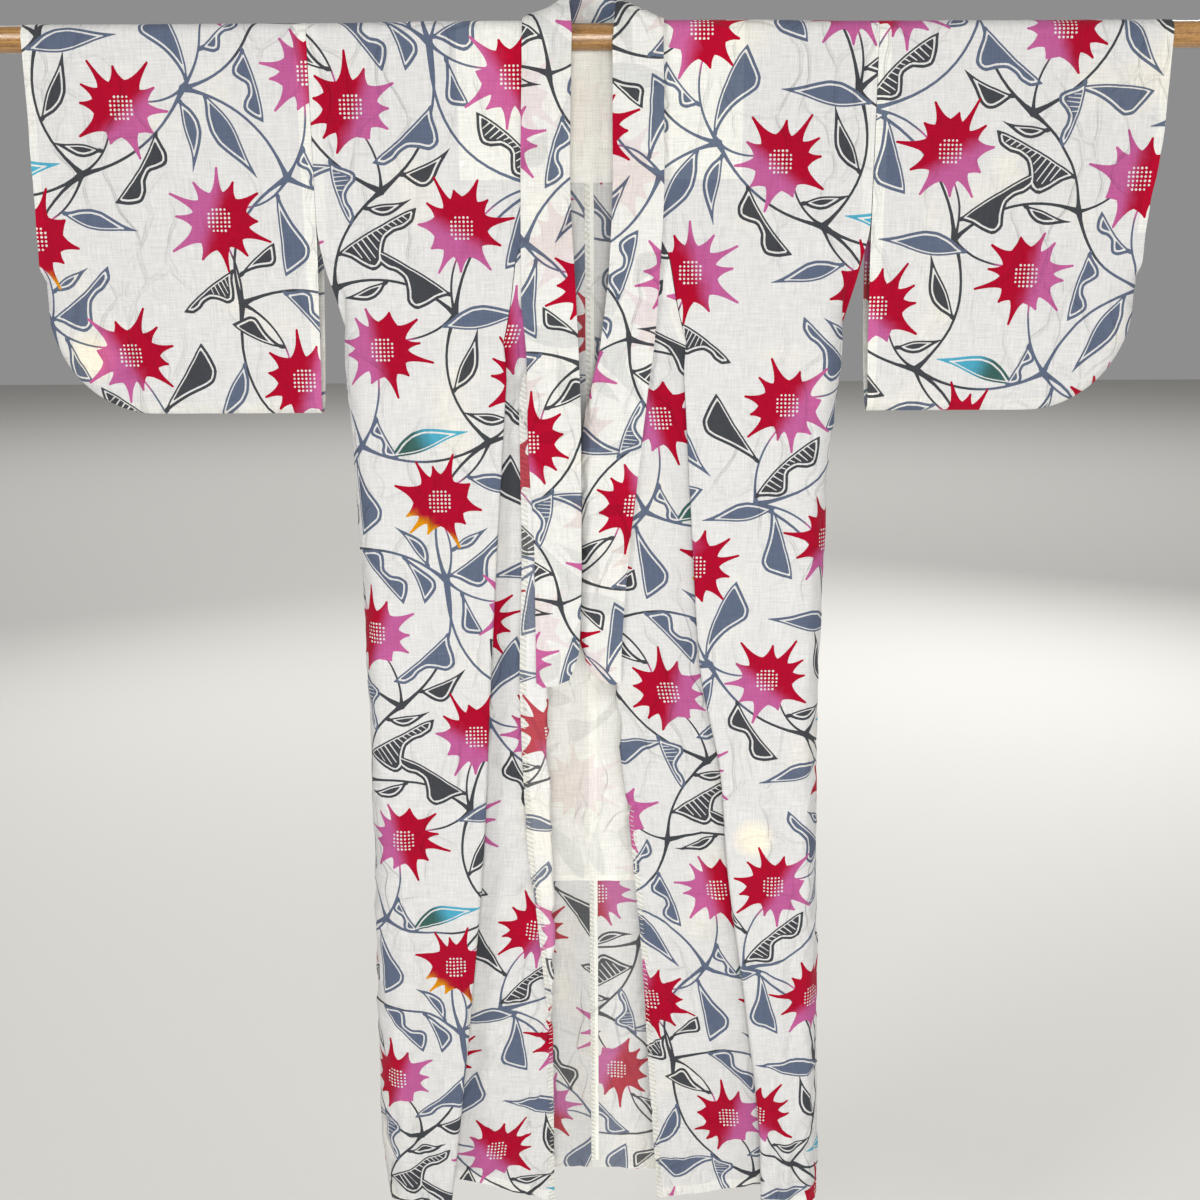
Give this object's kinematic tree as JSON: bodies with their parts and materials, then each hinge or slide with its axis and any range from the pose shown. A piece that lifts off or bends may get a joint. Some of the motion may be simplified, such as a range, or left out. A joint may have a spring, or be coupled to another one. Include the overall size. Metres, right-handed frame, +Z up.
{
  "type": "yukata robe on a hanging rod",
  "caption": "Unlined cotton yukata robe hung open over a straight round wooden rod through both sleeves, with flower and leaf print.",
  "frame": {"origin": "the middle of the rod's axis, where the rod is held, halfway along the garment", "axes": "+X along the rod towards the wearer's left sleeve, -Y the way the front of the robe faces, +Z up"},
  "size_m": [1.5, 0.0865, 1.5368],
  "materials": {
    "printed_cotton": "slubby plain-weave cotton, screen printed with crimson flowers, slate leaves and thin stems on off-white",
    "plain_cotton": "plain unprinted ivory cotton",
    "rod_wood": "golden brown turned wood under a gloss varnish"
  },
  "bodies": {
    "root": {"rod": "rod_wood", "body_right": "printed_cotton", "body_left": "printed_cotton", "sleeve_right": "printed_cotton", "sleeve_left": "printed_cotton", "okumi_right": "printed_cotton", "okumi_left": "printed_cotton", "collar": "printed_cotton", "shoulder_lining": "plain_cotton", "seat_lining": "plain_cotton"}
  },
  "joints": []
}
